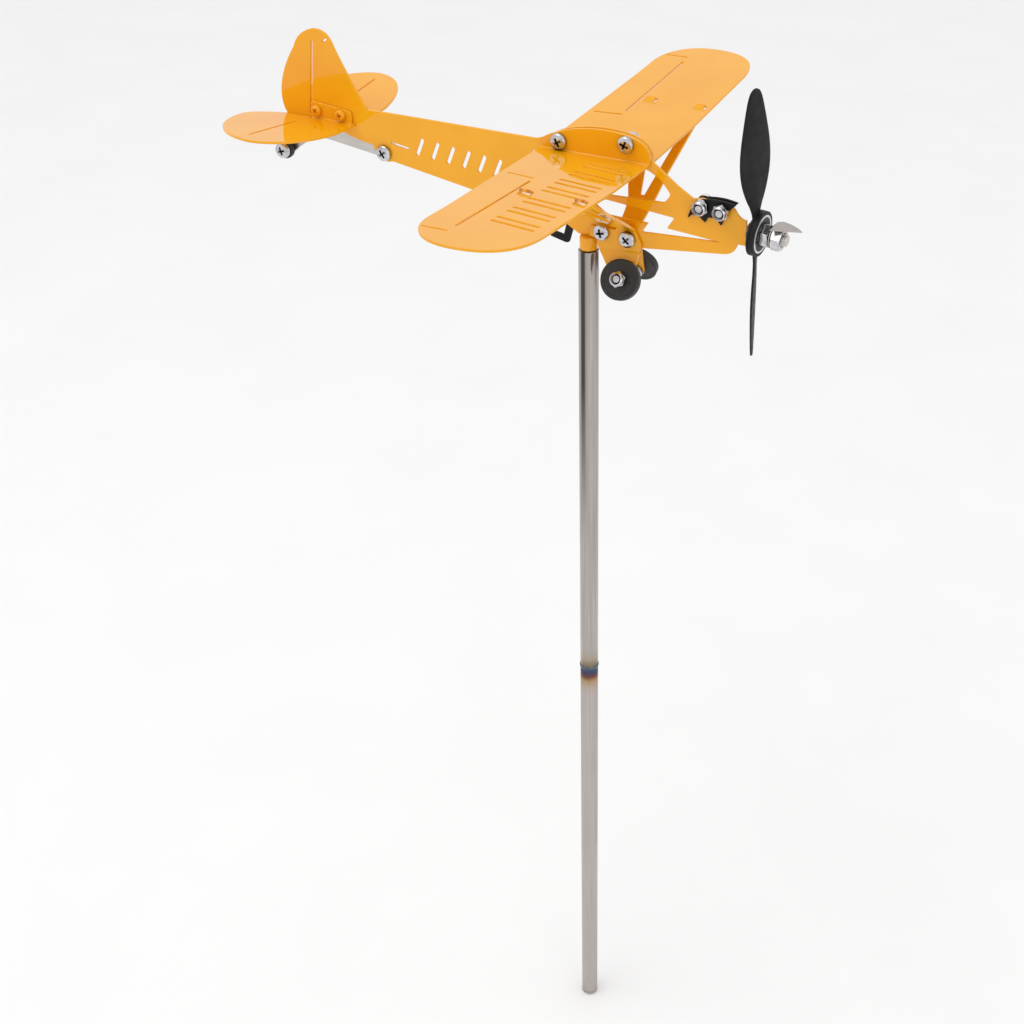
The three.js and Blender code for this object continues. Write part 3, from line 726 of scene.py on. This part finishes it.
STRUT_TURN = math.pi / 2 - math.atan(38 / 63)
STRUT_FOLD = 13.8
SPLAY = math.radians(26)
GEAR_FOLD = 3.67
AXLE = (21.7, 13.5)              # forward of the pole, and down the leg from its fold
BRACE_BEND = 1.0                 # inside radius of the brace's folds
STRUT_PAST = 3.2                 # how far the strut's ends stand above the wing


def foot_to(spread):
    """How far up the flat pattern a point of the strut lies, from its distance out from the foot."""
    return STRUT_FOLD - 0.24 + (spread - 1) / math.sin(STRUT_TURN)


def brace():
    """Foot, strut legs and gear leg as one flat pattern, folded at the foot's upper and lower edge."""
    strut = STRUT_FOLD - 0.24
    leg = 3.82
    axle_x, axle_down = AXLE
    eye = 4.4
    end = foot_to(64)
    pattern = [Vector((5, 7.6)), Vector((1.5, 8)), Vector((2, 13.2)), Vector((15, 13.6))]
    pattern += trace(
        (15.5, strut + 0.6), (14.5, foot_to(13)), [(9, foot_to(24)), (5, foot_to(36))], (-0.5, end - 6),
        (-0.5, end + STRUT_PAST), (4.5, end + STRUT_PAST), (4.5, end - 6), (15, foot_to(32)),
        (19.2, foot_to(17)), (21, foot_to(17)), (23.2, foot_to(36)), (26, end - 6),
        (26, end + STRUT_PAST), (30.5, end + STRUT_PAST),
        (30.5, end - 6), (27.4, foot_to(30)), [(27.4, foot_to(16)), (25.4, strut + 0.6)])
    pattern += [Vector((26, 13.4)), Vector((28.5, 8)), Vector((27.2, 3.6))]
    pattern += arc(axle_x, leg - axle_down, eye, 0.05, -0.8 * math.pi, 24)
    pattern += [Vector((6, 3.6))]
    openings = [circle(x, z, M4["hole"]) for x, z in BRACE_SCREWS]
    openings.append(circle(axle_x, leg - axle_down, M4["hole"]))
    bm = flat_sheet(pattern, openings, SHEET)
    fold(bm, STRUT_FOLD, 1, STRUT_TURN, BRACE_BEND, SHEET)
    return fold(bm, GEAR_FOLD, -1, SPLAY, BRACE_BEND, SHEET)


# ---------- trim on the nose and tail ----------

def engine_plates():
    """Two plates beside the nose, each with a curved crest and three pointed fins below."""
    outline = trace(
        (51.2, 25.9), (53.4, 28), (57, 27.4), (59.8, 25.2), (61.2, 28), (65, 27.9), (67.6, 25), (69.6, 29.8),
        [(71, 33), (74.3, 35.8)], [(66, 38), (57, 35.8)], [(52, 31.4), (51.2, 25.9)])
    openings = [circle(x, z, M4["hole"]) for x, z in ENGINE_BOLTS]
    for side, y in (("left", SIDE_FACE), ("right", -SIDE_FACE - THIN)):
        plate = flat_sheet(outline[:-1], openings, THIN, 0.2)
        sheet_piece(f"{side}_engine_plate", plate, "black", upright(y))


def boarding_step():
    corners = [(-23.2, 17), (-21.8, 3.2), (-20.2, 2.4), (-12.4, 0.6), (-10.8, 1.2), (-7.6, 12.5),
               (-7.6, 15.5), (-11, 15.5), (-13.8, 4.6), (-19, 5.6), (-20, 17)]
    outline = rounded(corners, 0.7)
    sheet_piece("boarding_step", flat_sheet(outline, [], THIN, 0.2), "black", upright(SIDE_FACE))


def tail_strip():
    screw_x, screw_z = TAIL_SCREW
    x, z = TAIL_WHEEL
    half = 3.6
    outline = arc(screw_x, screw_z, half, -math.pi / 2, 0.45 * math.pi, 20)
    outline += trace((-146, 38.6), [(-158, 39), (x - half * 0.7, z + half * 0.8)])
    outline += arc(x, z, half, 0.75 * math.pi, 1.75 * math.pi, 20)
    outline += trace((x + half * 0.7, z - half * 0.7), [(-156, 32), (-146, 31.6)])[1:]
    openings = [circle(screw_x, screw_z, M4["hole"]), circle(x, z, M4["hole"])]
    sheet_piece("tail_strip", flat_sheet(outline, openings, SHEET, 0.15), "strip", upright(SIDE_FACE))


# ---------- bolted joints ----------

SUNK = 0.9                       # how far a screw's end lies below the face of its lock nut
AXLE_SUNK = 0.7
RUNNING = 0.4                    # between a wheel and what stands beside it
WHEEL_RADIUS, WHEEL_WIDTH = 9.8, 4
TAIL_WHEEL_RADIUS, TAIL_WHEEL_WIDTH = 4.8, 3
AXLE_BORE = 2.4


def placed(name, bm, look, body, node, matrix, sharp=30):
    bm.transform(matrix)
    return piece(name, bm, look, body, [node], sharp)


def cross_bolt(name, x, z, near, far, size=M4, look="bright", spin=0.3, flip=False):
    """A screw through upright sheets, its head outside near and its lock nut outside far, or flipped."""
    length = far - near + 2 * GAP + size["nut"] - SUNK
    turn = MIRROR if flip else Matrix.Identity(4)
    height = z + POLE_TOP
    head = turn @ Matrix.Translation((x, near - GAP, height)) @ Matrix.Rotation(math.pi / 2, 4, "X")
    tail = turn @ Matrix.Translation((x, far + GAP, height)) @ Matrix.Rotation(-math.pi / 2, 4, "X")
    twist = Matrix.Rotation(spin, 4, "Z")
    placed(f"{name}_pan_screw", screw(size, length), look, "aeroplane", f"{name}_screw", head @ twist)
    placed(f"{name}_lock_nut", lock_nut(size), "bright", "aeroplane", f"{name}_nut", tail @ twist)


def bolted_joints():
    wing_face = SIDE_FACE + THIN
    brace_face = SIDE_FACE + SHEET
    ends = ("rear", "front")
    for i, (x, z) in enumerate(WING_SCREWS):
        cross_bolt(f"wing_{ends[i]}", x, z, -wing_face, wing_face, spin=0.5 + 0.7 * i)
    for i, (x, z) in enumerate(BRACE_SCREWS):
        cross_bolt(f"brace_{ends[i]}", x, z, -brace_face, brace_face, spin=0.2 + 0.6 * i)
    for i, (x, z) in enumerate(STABILIZER_SCREWS):
        cross_bolt(f"stabilizer_{ends[i]}", x, z, -wing_face, wing_face, M3, "orange", spin=0.9 - 0.5 * i)
    for i, (x, z) in enumerate(ENGINE_BOLTS):
        cross_bolt(f"engine_{ends[i]}", x, z, -wing_face, wing_face, spin=0.4 + 0.3 * i, flip=True)
    cross_bolt("tail_strip", *TAIL_SCREW, -SHEET / 2, SIDE_FACE + SHEET, spin=0.6)
    x, z = TAIL_WHEEL
    near = SIDE_FACE - RUNNING
    cross_bolt("tail_wheel", x, z, near - TAIL_WHEEL_WIDTH - GAP, SIDE_FACE + SHEET, spin=0.25)
    wheel = ring(AXLE_BORE, TAIL_WHEEL_RADIUS, 0, TAIL_WHEEL_WIDTH, 0.7)
    matrix = Matrix.Translation((x, near, z + POLE_TOP)) @ Matrix.Rotation(math.pi / 2, 4, "X")
    placed("tail_wheel_disc", wheel, "wheel", "tail_roller", "tail_wheel", matrix)


def wheel_disc(bottom, top, radius):
    """A solid disc with rounded tread and a shallow turned groove on both faces."""
    groove, depth = radius * 0.78, 0.25
    corners = [(AXLE_BORE, bottom), (groove - 0.5, bottom), (groove, bottom + depth), (groove + 0.5, bottom),
               (radius, bottom), (radius, top), (groove + 0.5, top), (groove, top - depth),
               (groove - 0.5, top), (AXLE_BORE, top)]
    return turned(soft_corners(corners, 0.8), 128, solid=False)


def main_wheel(side, name):
    """Wheel, axle bolt and lock nut; local +Z is the outward axle direction."""
    axle_x, axle_down = AXLE
    out, down = axle_down * math.sin(SPLAY), axle_down * math.cos(SPLAY)
    matrix = Matrix.Translation((axle_x, side * (SIDE_FACE + out), POLE_TOP + 3 - down))
    matrix = matrix @ Matrix.Rotation(-side * (math.pi / 2 - SPLAY), 4, "X")
    start, end = SHEET + RUNNING, SHEET + RUNNING + WHEEL_WIDTH
    head = matrix @ Matrix.Translation((0, 0, -GAP)) @ Matrix.Rotation(math.pi, 4, "X")
    bolt = screw(M4, end + RUNNING + M4["nut"] - AXLE_SUNK)
    placed(f"{name}_pan_bolt", bolt, "bright", "aeroplane", f"{name}_axle_bolt", head)
    disc = wheel_disc(start, end, WHEEL_RADIUS)
    placed(f"{name}_disc", disc, "wheel", f"{name}_main_wheel", f"{name}_wheel", matrix)
    nut_place = matrix @ Matrix.Translation((0, 0, end + RUNNING)) @ Matrix.Rotation(0.4, 4, "Z")
    placed(f"{name}_lock_nut", lock_nut(M4), "bright", "aeroplane", f"{name}_axle_nut", nut_place)


# ---------- propeller ----------

NOSE = Matrix.Translation((80.4, 0, POLE_TOP + 24.4)) @ Matrix.Rotation(math.radians(-4), 4, "Z")
NOSE = NOSE @ Matrix.Rotation(math.radians(3.6), 4, "Y")
SHAFT = NOSE @ Matrix.Rotation(math.pi / 2, 4, "Y")
BLADE_SHEET = 1.0
BLADE_BACK = 3.2                 # distances along the shaft from the nose
BLADE_PITCH = math.radians(19.3)
BLADE_LEAN = math.radians(1.2)   # towards the tail
BLADE_ROLL = math.radians(13.6)  # of the pair round the shaft, at rest
BEARING_BACK, BEARING_FRONT = 4.4, 7.0
INNER_NUT_BACK, WASHER_BACK, OUTER_NUT_BACK = 7.2, 11.5, 12.4
INNER_NUT_HEIGHT = 4
BEARING_OUTER, BEARING_RACE, BEARING_INNER = 9, 7.8, 4.9
SHAFT_BORE = 3.2
HUB_RADIUS = 10.5
BLADE_STATIONS = [               # distance out, chord, share of the pitch
    (8.5, 7, 0), (11, 6.6, 0.3), (15, 8, 0.8), (20, 11.6, 1), (27, 15.8, 1), (34, 18, 1), (41, 18.2, 1),
    (48, 16.8, 1), (55, 14.4, 1), (62, 11.6, 1), (68, 8.8, 1), (71.9, 5.6, 1), (73.4, 2, 1)]


def smooth_station(place):
    """A blade station between the given ones, on a Catmull-Rom curve."""
    last = len(BLADE_STATIONS) - 1
    index = min(int(place), last - 1)
    t = place - index
    knots = [Vector(BLADE_STATIONS[max(0, min(last, index + k))]) for k in (-1, 0, 1, 2)]
    a, b, c, d = knots
    return (b * 2 + (c - a) * t + (a * 2 - b * 5 + c * 4 - d) * t * t + (b * 3 - a - c * 3 + d) * t ** 3) / 2


def blade():
    """One sheet blade along +Z with rounded edges and a slight hollow in its rear face."""
    rings, across = 90, 10
    columns_of_points = []
    for i in range(rings + 1):
        out, chord, share = smooth_station((len(BLADE_STATIONS) - 1) * i / rings)
        angle = BLADE_PITCH * share
        half, thick = chord / 2, BLADE_SHEET / 2
        section = [(half - thick + thick * math.cos(a), thick * math.sin(a))
                   for a in [math.pi * (k / 6 - 0.5) for k in range(7)]]
        top = [((half - thick) * (1 - 2 * k / across), thick) for k in range(1, across)]
        section = section + top
        section += [(-x, -w) for x, w in section]
        camber = 0.035 * chord * share
        bent = [(x, w + camber * (0.35 - (x / half) ** 2)) for x, w in section]
        columns_of_points.append([
            (math.cos(angle) * w + math.sin(angle) * x, math.cos(angle) * x - math.sin(angle) * w, out)
            for x, w in bent])
    columns = [list(column) for column in zip(*columns_of_points)]
    return sweep_columns(columns, closed_ends=True)


def propeller():
    middle = BLADE_BACK + BLADE_SHEET / 2
    disc = ring(6.2, HUB_RADIUS, BLADE_BACK, BLADE_BACK + BLADE_SHEET, 0.2)
    disc.transform(Matrix.Rotation(math.pi / 2, 4, "Y"))
    upper, lower = blade(), blade()
    lean = Matrix.Translation((middle, 0, 0)) @ Matrix.Rotation(-BLADE_LEAN, 4, "Y")
    upper.transform(lean)
    lower.transform(Matrix.Rotation(math.pi, 4, "X") @ lean)
    blades = boolean(boolean(disc, upper, "UNION"), lower, "UNION")
    blades.transform(NOSE @ Matrix.Rotation(BLADE_ROLL, 4, "X"))
    piece("propeller_blade_pair", blades, "black", "propeller", ["propeller_blades"], sharp=40)


def on_shaft(name, node, bm, look, body):
    placed(name, bm, look, body, node, SHAFT)


def tab_washer():
    """A washer whose pointed tongue is folded forwards over the outer nut."""
    outline = trace((-1.5, 5.3), (-1.5, 6.1), (-6.8, 6.15), (-0.1, 18.9), [(4.5, 14.1), (4.9, 7.4)],
                    (3.4, 6.1), (3.1, 5.2))
    outline += arc(0, 0, 5, math.radians(45), math.radians(-252), 60)
    sheet = 0.6
    bm = flat_sheet(outline, [circle(0, 0, SHAFT_BORE)], sheet, 0.12)
    fold(bm, 5.4, 1, math.pi / 2, 0.4, sheet)
    bm.transform(NOSE @ frame_matrix((0, 1, 0), (0, 0, 1), (1, 0, 0), (WASHER_BACK, 0, 0)))
    piece("shaft_tab_washer", bm, "lower tube", "aeroplane", ["tab_washer"])


def shaft_and_bearing():
    back, front = BEARING_BACK, BEARING_FRONT
    foot = turned([(0.1, 0.2), (4.4, 0.2), (4.6, 0.5), (4.3, 1.0), (3.4, 1.3), (0.1, 1.3)], 48)
    stud = merged(foot, thread(M6["radius"], M6["pitch"], 1.25, 19, segments=48))
    on_shaft("welded_stud", "propeller_shaft", stud, "strip", "aeroplane")
    inner = ring(SHAFT_BORE, BEARING_INNER, back, front, 0.3)
    outer = ring(BEARING_RACE, BEARING_OUTER, back, front, 0.3)
    sleeve = ring(BEARING_OUTER + GAP, HUB_RADIUS, back, front - 0.2)
    on_shaft("stud_spacer", "shaft_spacer", ring(SHAFT_BORE, 5, 1.4, back - GAP), "strip", "aeroplane")
    on_shaft("bearing_inner_race", "bearing_inner_ring", inner, "bright", "aeroplane")
    on_shaft("bearing_outer_race", "bearing_outer_ring", outer, "bright", "propeller")
    on_shaft("hub_sleeve", "propeller_hub", sleeve, "black", "propeller")
    for name, start in (("rear", back + 0.2), ("front", front - 0.8)):
        seal = ring(5.3, 7.7, start, start + 0.6, 0.2)
        on_shaft(f"{name}_seal", f"bearing_{name}_seal", seal, "seal", "propeller")
    nuts = (("inner", INNER_NUT_BACK, INNER_NUT_HEIGHT, 0.1), ("outer", OUTER_NUT_BACK, M6["nut"], 0.35))
    for name, start, height, spin in nuts:
        hexagon = moved(nut(M6["flats"], height, 3.05), z=start, rotation=Matrix.Rotation(spin, 4, "Z"))
        on_shaft(f"{name}_hex_nut", f"{name}_shaft_nut", hexagon, "bright", "aeroplane")


# ---------- pole and swivel ----------

def weld_bead():
    """A low ring of overlapping weld ripples."""
    columns = []
    for i in range(360):
        angle = 2 * math.pi * i / 360
        ripple = 0.07 * abs(math.sin(16 * angle))
        swell = [(5.02, -1.1), (5.2 + ripple, -0.8), (5.34 + ripple, -0.3), (5.36 + ripple, 0.3),
                 (5.22 + ripple, 0.8), (5.02, 1.1)]
        shift = 0.12 * math.sin(3 * angle)
        middle = POLE_JOINT + shift
        columns.append([(r * math.cos(angle), r * math.sin(angle), middle + z) for r, z in swell])
    return sweep_columns(columns, closed_ends=False)


def pole():
    still = Matrix.Identity(4)
    cap = turned([(0.05, 0), (4.4, 0), (4.8, 0.15), (4.96, 0.45), (5, 0.9), (5, 2), (3.8, 2), (3.8, 12),
                  (0.05, 12)], 96)
    lower = ring(4, 5, 2 + GAP, POLE_JOINT - 0.1, 0.2)
    upper = ring(4, 5, POLE_JOINT + 0.1, POLE_TOP, 0.3)
    placed("end_cap", cap, "lower tube", "pole", "pole_end_cap", still)
    placed("lower_tube", lower, "lower tube", "pole", "pole_lower_tube", still)
    placed("upper_tube", upper, "upper tube", "pole", "pole_upper_tube", still)
    placed("weld_ripple", weld_bead(), "upper tube", "pole", "pole_weld_bead", still, sharp=60)
    spigot = turned(soft_corners([(0.3, 256), (3.8, 256), (3.8, 296), (0.3, 296)], 0.25), 64)
    placed("joint_spigot", spigot, "strip", "pole", "pole_joint_spigot", still)
    bush = ring(2.4, 3.8, POLE_TOP - 26, POLE_TOP - GAP)
    placed("swivel_bush", bush, "bush", "pole", "pivot_bush", still)


def swivel():
    still = Matrix.Translation((0, 0, POLE_TOP))
    profile = [(0.1, 5.2), (2.2, 5.2), (2.2, 0.5), (4.1, 0.5), (4.3, 0.7), (4.3, 6.5),
               (4.12, 6.95), (3.7, 7.2), (0.1, 7.2)]
    placed("collar", turned(profile, 96), "orange", "aeroplane", "swivel_collar", still)
    pin = turned(soft_corners([(0.2, -30), (2, -30), (2, 5), (0.2, 5)], 0.15), 48)
    placed("swivel_pin", pin, "strip", "aeroplane", "pivot_pin", still)


# ---------- stage, light and camera ----------

def studio_floor():
    mesh = bpy.data.meshes.new("studio_floor")
    half = 6.0
    corners = [(-half, -half, 0), (half, -half, 0), (half, half, 0), (-half, half, 0)]
    mesh.from_pydata(corners, [], [(0, 1, 2, 3)])
    floor = bpy.data.objects.new("studio_floor", mesh)
    floor.location.z = -0.0003
    bpy.context.scene.collection.objects.link(floor)
    surface = Surface("pale_floor", (0.93, 0.93, 0.93), roughness=0.9)
    surface.colour(surface.ramp(surface.noise(8, 3), (0.3, (0.92, 0.92, 0.92)), (0.7, (0.94, 0.94, 0.94))))
    mesh.materials.append(surface.material)


def area_light(name, place, target, size, power):
    light = bpy.data.lights.new(name, "AREA")
    light.shape = "DISK"
    light.size = size
    light.energy = power
    obj = bpy.data.objects.new(name, light)
    obj.location = place
    obj.rotation_euler = (Vector(target) - Vector(place)).to_track_quat("-Z", "Y").to_euler()
    bpy.context.scene.collection.objects.link(obj)


def studio_light():
    world = bpy.data.worlds.new("studio")
    bpy.context.scene.world = world
    world.use_nodes = True
    background = world.node_tree.nodes["Background"]
    background.inputs["Color"].default_value = (1, 1, 1, 1)
    background.inputs["Strength"].default_value = 0.92
    bpy.context.scene.view_settings.view_transform = "Standard"
    centre = (0, 0, 0.5)
    area_light("overhead_softbox", (-0.5, -0.6, 2.2), centre, 1.4, 8)
    area_light("right_fill", (1.6, -1.2, 0.9), centre, 0.9, 2)


def photographer():
    """The camera stands to the right of the nose and looks slightly down."""
    azimuth, elevation, roll = math.radians(25.90), math.radians(32.96), math.radians(-0.17)
    back = Vector((math.sin(azimuth) * math.cos(elevation), -math.cos(azimuth) * math.cos(elevation),
                   math.sin(elevation)))
    level = Vector((math.cos(azimuth), math.sin(azimuth), 0))
    upward = back.cross(level)
    right = level * math.cos(roll) + upward * math.sin(roll)
    up = upward * math.cos(roll) - level * math.sin(roll)
    data = bpy.data.cameras.new("camera")
    data.lens = 54.9
    data.sensor_width = 36
    data.shift_x, data.shift_y = -0.0719, -0.0138
    data.clip_start, data.clip_end = 0.05, 50
    camera = bpy.data.objects.new("camera", data)
    camera.matrix_world = frame_matrix(right, up, back, Vector((300.9, -623.8, 837.0)) * MM)
    bpy.context.scene.collection.objects.link(camera)
    bpy.context.scene.camera = camera


fuselage()
sheet_piece("left_wing", wing(striped=False), "orange", WING_FOLD.matrix)
sheet_piece("right_wing", wing(striped=True), "orange", MIRROR @ WING_FOLD.matrix)
stabilizers()
sheet_piece("left_brace", brace(), "orange", upright(SIDE_FACE))
sheet_piece("right_brace", brace(), "orange", MIRROR @ upright(SIDE_FACE))
engine_plates()
boarding_step()
tail_strip()
bolted_joints()
main_wheel(1, "left")
main_wheel(-1, "right")
propeller()
tab_washer()
shaft_and_bearing()
pole()
swivel()
studio_floor()
studio_light()
photographer()
